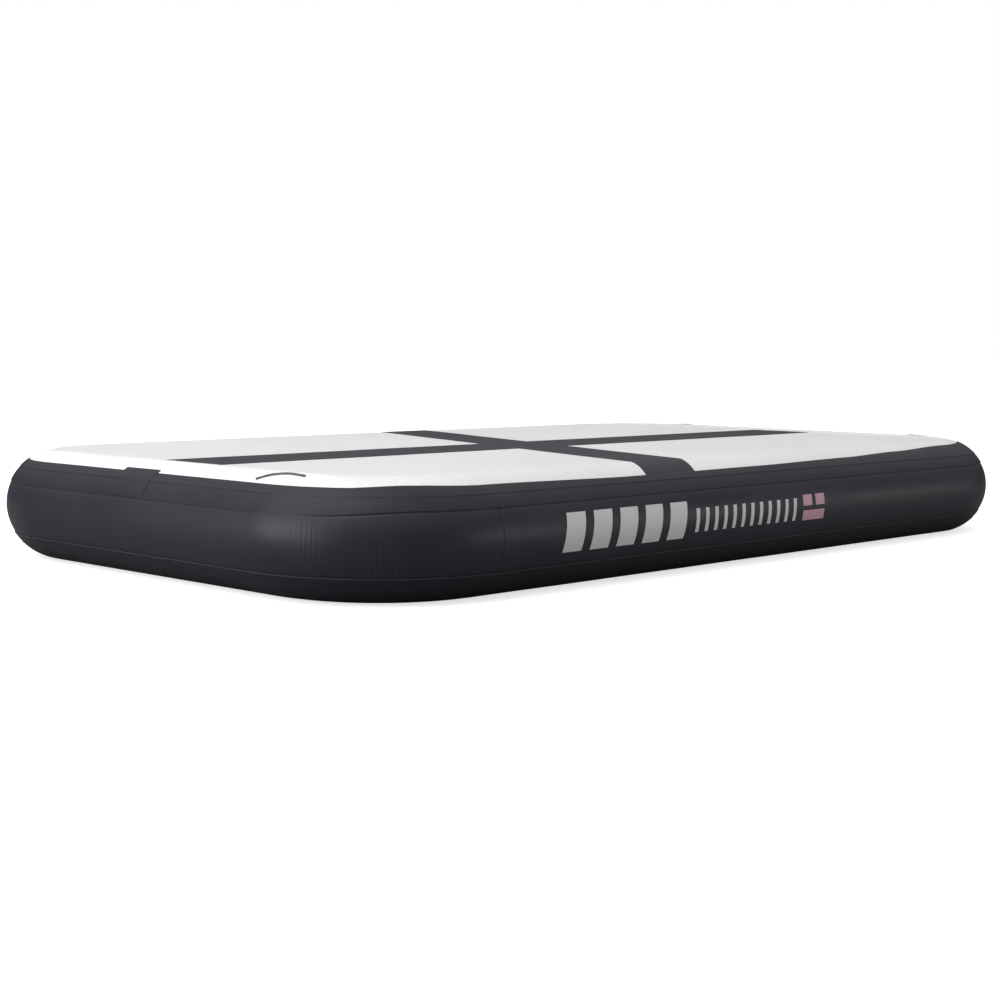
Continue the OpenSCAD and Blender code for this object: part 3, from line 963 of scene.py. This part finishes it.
def lap_patch():
    """Short patch over the place where the upper rail's ends meet."""
    low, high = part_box("upper_tape_lap")
    bm = bmesh.new()
    wall_patch(
        bm, "left", (low.y + high.y) / 2, high.y - low.y,
        UPPER_LOW - 4.3 * DEG, UPPER_TOP + 4.5 * DEG, LAP_LIFT,
    )
    relieve(bm, rail_relief)
    add_sheet("upper_tape_lap_patch", bm, TAPE, [rail_cloth], ["upper_tape_lap"], False)


lap_patch()


def bars(name, rows, material, replaced):
    """Rows of leaning printed bars on the front wall.

    A row is its first and last place along the wall, how many bars it has, the gap between them
    and their lean, in mm, and its lower and upper edge on the wall in degrees.
    """
    bm = bmesh.new()
    for first, last, number, gap, lean, low, high in rows:
        pitch = (last - first + gap) / number
        width = pitch - gap
        for i in range(number):
            middle = first + i * pitch + width / 2
            wall_patch(
                bm, "front", middle * MM, (width - lean / 2) * MM, low * DEG, high * DEG, PRINT_LIFT,
                lean * MM, (4, 10),
            )
    relieve(bm)
    add_sheet(name, bm, PRINT, [material], [replaced], False)


bars("bold_mark_bars", [(-286, -127, 5, 8, 5, -18, 19)], white_ink, "side_mark_bold")
bars("thin_mark_bars", [(-115, 38, 12, 8, 1.5, -13, 11)], white_ink, "side_mark_thin")
small_rows = [(49, 84, 2, 6, 0, 2, 14), (49, 84, 1, 0, 0, -14, -3)]
bars("small_mark_bars", small_rows, pink_ink, "side_mark_small")


def glue_bead(name, sign_x, sign_y):
    """Bead of dried glue where the corner's band was trimmed, from the deck down to the rail."""
    radius, bend, swing = 1.1 * MM, 42 * MM, 48 * DEG
    straight, sink = 13.5 * MM, 0.3 * MM
    start = Vector((462 * MM, 186 * MM, 0))
    bm = bmesh.new()
    ring = bmesh.ops.create_circle(bm, cap_ends=True, segments=10, radius=radius)["verts"]
    bmesh.ops.rotate(bm, verts=ring, cent=(0, 0, 0), matrix=Matrix.Rotation(math.pi / 2, 3, "X"))
    bmesh.ops.translate(bm, verts=ring, vec=start)
    geometry = run_straight(bm, bm.faces[:], (0, -straight / 9, 0), 9)
    centre = start + Vector((bend, -straight, 0))
    bmesh.ops.spin(bm, geom=geometry, cent=centre, axis=UP, angle=swing, steps=16)
    for vert in bm.verts:
        swell = 1 + 0.3 * noise.noise(vert.co * 260)
        lift = radius - sink + vert.co.z * swell
        vert.co = draped(Vector((sign_x * vert.co.x, sign_y * vert.co.y, lift)))
    relieve(bm)
    bmesh.ops.recalc_face_normals(bm, faces=bm.faces)
    add_piece(name, bm, [dried_glue], "mat")


for number, (sign_x, sign_y) in enumerate(((-1, -1), (1, 1), (1, -1)), 1):
    glue_bead(f"glue_bead_{number}", sign_x, sign_y)

# ---------------------------------------------------------------- valve

VALVE_AXIS = Vector((1, 0, 0))
VALVE_AT = Vector((SEAT_X, 0, WALL_Z))
CAP_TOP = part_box("valve_cap")[1].x - SEAT_X


def turned(bm, outline_points, steps=96, sharp=0.3 * MM, open_ended=False):
    """Turns a section of (radius, place along the axis) points, in mm, about the valve's axis."""
    verts = [bm.verts.new(VALVE_AT + Vector((a * MM, 0, r * MM))) for r, a in outline_points]
    edges = [bm.edges.new(pair) for pair in zip(verts, verts[1:])]
    if not open_ended:
        edges.append(bm.edges.new((verts[-1], verts[0])))
    if sharp:
        inner = [v for v in verts if (v.co - VALVE_AT).z > JOIN and len(v.link_edges) == 2]
        bmesh.ops.bevel(
            bm, geom=inner, offset=sharp, offset_type="OFFSET", segments=2, profile=0.5,
            affect="VERTICES", material=-1,
        )
    parts = [g for g in bm.verts if g.is_wire] + [e for e in bm.edges if e.is_wire]
    bmesh.ops.spin(
        bm, geom=parts, cent=VALVE_AT, axis=VALVE_AXIS, angle=FULL, steps=steps, use_merge=True
    )
    bmesh.ops.remove_doubles(bm, verts=bm.verts, dist=0.005 * MM)


def block(bm, low, high, sharp):
    """Soft-edged box from (along the axis, across, up) to another such point, in mm."""
    made = bmesh.ops.create_cube(bm, size=1)["verts"]
    size = Vector([b - a for a, b in zip(low, high)]) * MM
    middle = Vector([(a + b) / 2 for a, b in zip(low, high)]) * MM
    bmesh.ops.scale(bm, verts=made, vec=size)
    bmesh.ops.translate(bm, verts=made, vec=VALVE_AT + middle)
    edges = list({e for v in made for e in v.link_edges})
    bmesh.ops.bevel(
        bm, geom=edges, offset=sharp, offset_type="OFFSET", segments=3, profile=0.5,
        affect="EDGES", material=-1,
    )


def close_up(bm):
    """Turns the faces of closed shells outwards."""
    bmesh.ops.recalc_face_normals(bm, faces=bm.faces)


def crease_edges(piece):
    """Keeps flat faces flat beside a part's rounded edges."""
    weigh = piece.modifiers.new("flat_faces", "WEIGHTED_NORMAL")
    weigh.keep_sharp = True
    piece.data.set_sharp_from_angle(angle=35 * DEG)


def valve_piece(name, bm, material, body, slot, *replaced):
    close_up(bm)
    crease_edges(add_piece(name, bm, [material], body, replaced))


def valve_patch():
    """Patch that the valve is clamped to."""
    bm = bmesh.new()
    vert = bm.verts.new(VALVE_AT + Vector((0, 0, HOLE_R)))
    rings = 14
    for _ in range(rings):
        made = bmesh.ops.extrude_vert_indiv(bm, verts=[vert])["verts"]
        bmesh.ops.translate(bm, verts=made, vec=(0, 0, (PATCH_R - HOLE_R) / rings))
        vert = made[0]
    bmesh.ops.spin(
        bm, geom=bm.verts[:] + bm.edges[:], cent=VALVE_AT, axis=VALVE_AXIS, angle=FULL, steps=120,
        use_merge=True,
    )
    for vert in bm.verts:
        bulge = math.sqrt((WALL_R + TAPE_LIFT) ** 2 - (vert.co.z - WALL_Z) ** 2)
        outer = Vector((CORE_X + SECTION_S + bulge, vert.co.y, vert.co.z))
        vert.co = pressed(outer, TAPE_LIFT)
    add_sheet("valve_patch_disc", bm, TAPE, [rail_cloth, cut_edge], ["valve_patch"], False)


def gasket():
    bm = bmesh.new()
    turned(bm, [(20.9, 0.8), (25.5, 0.8), (25.5, 1.8), (20.9, 1.8)], sharp=0.2 * MM)
    valve_piece("gasket_ring", bm, seal_rubber, "mat", "seal_rubber", "valve_gasket")


def housing():
    """Flange with a raised lip, barrel, and a floor of rings and spokes that guides the stem."""
    lip = [(16.5, 3.9), (18.2, 3.9), (18.7, 3.6), (19.6, 3.6), (20.1, 3.9), (26.5, 3.9), (26.5, 1.9)]
    barrel = [(20.5, 1.9), (20.5, -24), (16.5, -24)]
    floor_rim = [(16.5, -16.6), (12.8, -16.6), (12.8, -15.4), (16.5, -15.4)]
    bm = bmesh.new()
    turned(bm, floor_rim[-1:] + lip + barrel + floor_rim[:-1], sharp=0.25 * MM)
    turned(bm, [(2.55, -17), (6.2, -17), (6.2, -15), (2.55, -15)], steps=48, sharp=0.2 * MM)
    for i in range(6):
        start = len(bm.verts)
        block(bm, (-16.8, -0.9, 5.8), (-15.1, 0.9, 13.2), 0.25 * MM)
        bm.verts.ensure_lookup_table()
        spoke_turn = Matrix.Rotation((60 * i + 30) * DEG, 3, "X")
        bmesh.ops.rotate(bm, verts=bm.verts[start:], cent=VALVE_AT, matrix=spoke_turn)
    valve_piece("valve_housing", bm, valve_plastic, "mat", "valve_plastic", "valve_body")


def stem():
    """Button with its cross bar, rod and retaining head."""
    button = [(0, -2.5), (7.5, -2.5), (7.5, -5), (2.5, -5)]
    head = [(2.5, -22.2), (4.5, -22.2), (4.5, -24.4), (0, -24.4)]
    bm = bmesh.new()
    turned(bm, button + head, steps=64, sharp=0.35 * MM, open_ended=True)
    block(bm, (-3, -5.5, -1.5), (-1, 5.5, 1.5), 0.4 * MM)
    valve_piece("stem_moulding", bm, stem_plastic, "stem", "stem_plastic", "valve_stem")


def spring():
    """Coil under the button."""
    wire, coil_r, turns = 0.35 * MM, 4.8 * MM, 5
    low, high = (corner.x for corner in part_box("valve_spring"))
    length = high - low - 2 * wire
    bm = bmesh.new()
    bmesh.ops.create_circle(bm, cap_ends=True, segments=10, radius=wire)
    stand = Matrix.Rotation(math.pi / 2, 3, "X")
    bmesh.ops.rotate(bm, verts=bm.verts, cent=(0, 0, 0), matrix=stand)
    bmesh.ops.translate(bm, verts=bm.verts, vec=(low + wire, 0, WALL_Z + coil_r))
    steps = 28 * turns
    bmesh.ops.spin(
        bm, geom=bm.faces[:], cent=VALVE_AT, axis=VALVE_AXIS, angle=FULL * turns, steps=steps,
        dvec=(length / steps, 0, 0),
    )
    close_up(bm)
    coil = add_piece("spring_coil", bm, [spring_wire], "mat", ["valve_spring"])
    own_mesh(coil)


def poppet():
    bm = bmesh.new()
    turned(bm, [(3.2, -19.15), (15, -19.15), (15, -17.05), (3.2, -17.05)], sharp=0.5 * MM)
    valve_piece("poppet_disc", bm, seal_rubber, "poppet", "seal_rubber", "poppet_seal")


def thread_start(bm, skirt, angle):
    """One of the skirt's three ridges, rising 24 mm in a turn."""
    travel, lead, steps = 100, 24 * MM, 25
    ridge = [(skirt - 0.2, -0.7), (skirt + 0.6, -0.25), (skirt + 0.6, 0.25), (skirt - 0.2, 0.7)]
    turn = Matrix.Rotation(angle, 3, "X")
    foot = VALVE_AT + Vector((-4.3 * MM, 0, 0))
    verts = [bm.verts.new(foot + turn @ Vector((a * MM, 0, r * MM))) for r, a in ridge]
    face = bm.faces.new(verts)
    bmesh.ops.spin(
        bm, geom=[face], cent=VALVE_AT, axis=VALVE_AXIS, angle=travel * DEG, steps=steps,
        dvec=(lead * travel / 360 / steps, 0, 0),
    )


def cap():
    """Rim with finger scallops, pocket, grip bar and a threaded skirt."""
    rim, pocket, skirt = 23.5, 17, 15.6
    top = CAP_TOP / MM
    under = [(0, 6.1), (13.2, 6.1), (13.2, -5.5), (skirt, -5.5), (skirt, 4.5), (18.6, 4.5)]
    over = [(18.6, 5.9), (rim, 5.9), (rim, top), (pocket + 0.7, top), (pocket, top - 2.6), (0, top - 2.6)]
    bm = bmesh.new()
    turned(bm, under + over, steps=144, sharp=0.45 * MM, open_ended=True)
    for vert in bm.verts:
        radial = vert.co - VALVE_AT
        radial.x = 0
        if radial.length > (rim - 0.6) * MM:
            scallop = max(0.0, math.cos(18 * math.atan2(radial.y, radial.z))) ** 2
            vert.co -= radial.normalized() * 0.85 * MM * scallop
    block(bm, (top - 2.9, -16.6, -4), (top, 16.6, 4), 0.7 * MM)
    for start in range(3):
        thread_start(bm, skirt, start * FULL / 3)
    valve_piece("cap_moulding", bm, valve_plastic, "cap", "valve_plastic", "valve_cap")


def cap_seal():
    bm = bmesh.new()
    turned(bm, [(15.7, 3.95), (18.3, 3.95), (18.3, 4.45), (15.7, 4.45)], sharp=0.15 * MM)
    valve_piece("cap_seal_ring", bm, seal_rubber, "cap", "seal_rubber", "cap_seal")


# The tether's loop, in mm: its ends along the valve's axis, and its radius, width and middle
STRAP_LOW, STRAP_HIGH = 4.15, 5.55
LOOP_R, LOOP_W, LOOP_Z = 11, 5, -30
BODY_LEG, CAP_LEG = -25.9, -23.5  # where its two legs meet their rings


def tether_rings():
    """Ring round the flange with the post for the strap, and ring that the cap turns in."""
    bm = bmesh.new()
    turned(bm, [(26.7, 2.0), (29.1, 2.0), (29.1, 3.7), (26.7, 3.7)], sharp=0.4 * MM)
    half = LOOP_W / 2
    block(bm, (2.7, -LOOP_R - half, BODY_LEG - 3), (4.1, -LOOP_R + half, BODY_LEG), 0.3 * MM)
    name = "flange_tether_ring"
    valve_piece(name, bm, tether_plastic, "mat", "tether_plastic", "tether_body_ring")
    bm = bmesh.new()
    ring = [(18.9, STRAP_LOW), (25, STRAP_LOW), (25, STRAP_HIGH), (18.9, STRAP_HIGH)]
    turned(bm, ring, sharp=0.4 * MM)
    name = "cap_tether_ring"
    valve_piece(name, bm, tether_plastic, "tether_end", "tether_plastic", "tether_cap_ring")


def tether_strap():
    """Looped strap from the flange's ring to the cap's."""
    half = LOOP_W / 2
    corners = [(STRAP_LOW, -half), (STRAP_HIGH, -half), (STRAP_HIGH, half), (STRAP_LOW, half)]
    bm = bmesh.new()
    verts = [
        bm.verts.new(VALVE_AT + Vector((a, -LOOP_R + across, BODY_LEG)) * MM) for a, across in corners
    ]
    geometry = [bm.faces.new(verts)]
    drop = (0, 0, (LOOP_Z - BODY_LEG) / 3 * MM)
    geometry = bmesh.ops.spin(bm, geom=geometry, axis=VALVE_AXIS, dvec=drop, angle=0, steps=3)
    loop_at = VALVE_AT + Vector((0, 0, LOOP_Z * MM))
    geometry = bmesh.ops.spin(
        bm, geom=geometry["geom_last"], cent=loop_at, axis=VALVE_AXIS, angle=math.pi, steps=36
    )
    rise = (0, 0, (CAP_LEG - LOOP_Z) / 4 * MM)
    bmesh.ops.spin(bm, geom=geometry["geom_last"], axis=VALVE_AXIS, dvec=rise, angle=0, steps=4)
    bmesh.ops.remove_doubles(bm, verts=bm.verts, dist=0.005 * MM)
    long_edges = [e for e in bm.edges if len(e.link_faces) == 2 and e.calc_face_angle(0) > 60 * DEG]
    bmesh.ops.bevel(
        bm, geom=long_edges, offset=0.3 * MM, offset_type="OFFSET", segments=2, profile=0.5,
        affect="EDGES", material=-1,
    )
    close_up(bm)
    name = "tether_strap_loop"
    strap = add_piece(name, bm, [tether_plastic], None, ["tether_strap"])
    crease_edges(strap)
    start, end = (SEAT_X, -9 * MM, WALL_Z), (SEAT_X, 9 * MM, WALL_Z)
    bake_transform(strap)
    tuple(start)
    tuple(end)


valve_patch()
gasket()
housing()
stem()
spring()
poppet()
cap()
cap_seal()
tether_rings()
tether_strap()

# ---------------------------------------------------------------- materials of the frame's nodes

FINISHES = (
    (deck_cloth, ["deck_sheet"]),
    (band_cloth, ["left_end_band", "right_end_band"]),
    (stripe_cloth, ["long_stripe", "cross_stripe"]),
    (bottom_cloth, ["bottom_sheet"]),
    (side_cloth, ["outer_side_wall"]),
    (rail_cloth, ["upper_rail_tape", "lower_rail_tape", "upper_tape_lap", "valve_patch"]),
    (rail_cloth, ["front_joint_strip", "back_joint_strip"]),
    (white_ink, ["side_mark_bold", "side_mark_thin"]),
    (pink_ink, ["side_mark_small"]),
    (base_cloth, ["deck_base_cloth", "bottom_base_cloth"]),
    (yarn_cloth, ["drop_stitch_yarns"]),
    (inner_cloth, ["inner_side_wall", "upper_inner_seam_tape", "lower_inner_seam_tape"]),
    (seal_rubber, ["valve_gasket", "poppet_seal", "cap_seal"]),
    (valve_plastic, ["valve_body", "valve_cap", "valve_backing_nut"]),
    (stem_plastic, ["valve_stem", "poppet_carrier"]),
    (spring_wire, ["valve_spring"]),
    (tether_plastic, ["tether_body_ring", "tether_strap", "tether_cap_ring"]),
)
for material, names in FINISHES:
    for name in names:
        nodes[name].data.materials.clear()
        nodes[name].data.materials.append(material)

# ---------------------------------------------------------------- camera

AZIMUTH, ELEVATION, ROLL = -45.77 * DEG, 5.155 * DEG, 0.421 * DEG
DISTANCE, ASIDE, ALOFT = 1806.82 * MM, -37.50 * MM, -10.32 * MM
AIM = Vector((0, 0, 50 * MM))


def stand_camera():
    """Camera low over the board's front left corner."""
    level_back = Vector((math.sin(AZIMUTH), -math.cos(AZIMUTH), 0))
    back = level_back * math.cos(ELEVATION) + UP * math.sin(ELEVATION)
    level = (-back).cross(UP).normalized()
    tall = level.cross(-back)
    right = level * math.cos(ROLL) + tall * math.sin(ROLL)
    above = tall * math.cos(ROLL) - level * math.sin(ROLL)
    data = bpy.data.cameras.new("camera")
    data.lens = 62.27
    data.sensor_width = 36
    data.clip_start = 0.05
    data.clip_end = 60
    camera = bpy.data.objects.new("camera", data)
    bpy.context.scene.collection.objects.link(camera)
    place = AIM + back * DISTANCE + right * ASIDE + above * ALOFT
    turn = Matrix((right, above, back)).transposed().to_4x4()
    camera.matrix_world = Matrix.Translation(place) @ turn
    bpy.context.scene.camera = camera


stand_camera()

# ---------------------------------------------------------------- studio


def add_light(name, at, towards, size, power):
    data = bpy.data.lights.new(name, "AREA")
    data.shape = "RECTANGLE"
    data.size, data.size_y = size
    data.energy = power
    light = bpy.data.objects.new(name, data)
    bpy.context.scene.collection.objects.link(light)
    aim = (Vector(towards) - Vector(at)).to_track_quat("-Z", "Y")
    light.matrix_world = Matrix.Translation(at) @ aim.to_matrix().to_4x4()


add_light("left_softbox", (-2.1, 0.4, 0.4), (-0.3, 0, 0.05), (1.6, 0.7), 15)
add_light("right_softbox", (1.6, -2.4, 0.16), (0.4, -0.3, 0.05), (2.6, 0.32), 9)
add_light("top_softbox", (-1.7, 0.3, 2.2), (-0.1, 0, 0), (2.8, 2.8), 37)


def backdrop():
    """White room that the camera sees, with soft light from above for everything else."""
    world = bpy.data.worlds.new("studio")
    bpy.context.scene.world = world
    world.use_nodes = True
    t = Tree(world.node_tree)
    seen = world.node_tree.nodes["Background"]
    seen.inputs["Color"].default_value = (1, 1, 1, 1)
    ray = t.add("ShaderNodeLightPath").outputs["Is Camera Ray"]
    height = t.add("ShaderNodeSeparateXYZ", {0: t.add("ShaderNodeTexCoord").outputs["Generated"]})
    dome = t.add("ShaderNodeBackground")
    dome.inputs["Color"].default_value = (1, 1, 1, 1)
    t.feed(dome.inputs["Strength"], t.ramp(height.outputs["Z"], 0, 0.9, 0.03, 0.88))
    mixed = t.add("ShaderNodeMixShader", {0: ray, 1: dome.outputs[0], 2: seen.outputs[0]})
    t.feed(world.node_tree.nodes["World Output"].inputs["Surface"], mixed.outputs[0])


def floor_material():
    """Pale floor: near white to the eye, and dim in what it throws back on the board."""
    material, t, shader = new_material("floor_paint", Roughness=0.9, Emission_Strength=0.7)
    shade = t.noise(object_place(t), 3, 2)
    t.feed(shader.inputs["Base Color"], t.mix(shade, (0.94, 0.94, 0.94), (0.96, 0.96, 0.96)))
    shader.inputs["Emission Color"].default_value = (1, 1, 1, 1)
    ray = t.add("ShaderNodeLightPath").outputs["Is Camera Ray"]
    dim = t.add("ShaderNodeBsdfDiffuse")
    dim.inputs["Color"].default_value = (0.26, 0.26, 0.26, 1)
    mixed = t.add("ShaderNodeMixShader", {0: ray, 1: dim.outputs[0], 2: shader.outputs[0]})
    t.feed(material.node_tree.nodes["Material Output"].inputs["Surface"], mixed.outputs[0])
    return material


def lay_floor():
    bm = bmesh.new()
    bmesh.ops.create_grid(bm, x_segments=1, y_segments=1, size=30)
    mesh = bpy.data.meshes.new("floor")
    bm.to_mesh(mesh)
    bm.free()
    mesh.materials.append(floor_material())
    floor = bpy.data.objects.new("floor", mesh)
    bpy.context.scene.collection.objects.link(floor)


backdrop()
lay_floor()
bpy.context.scene.view_settings.view_transform = "Standard"
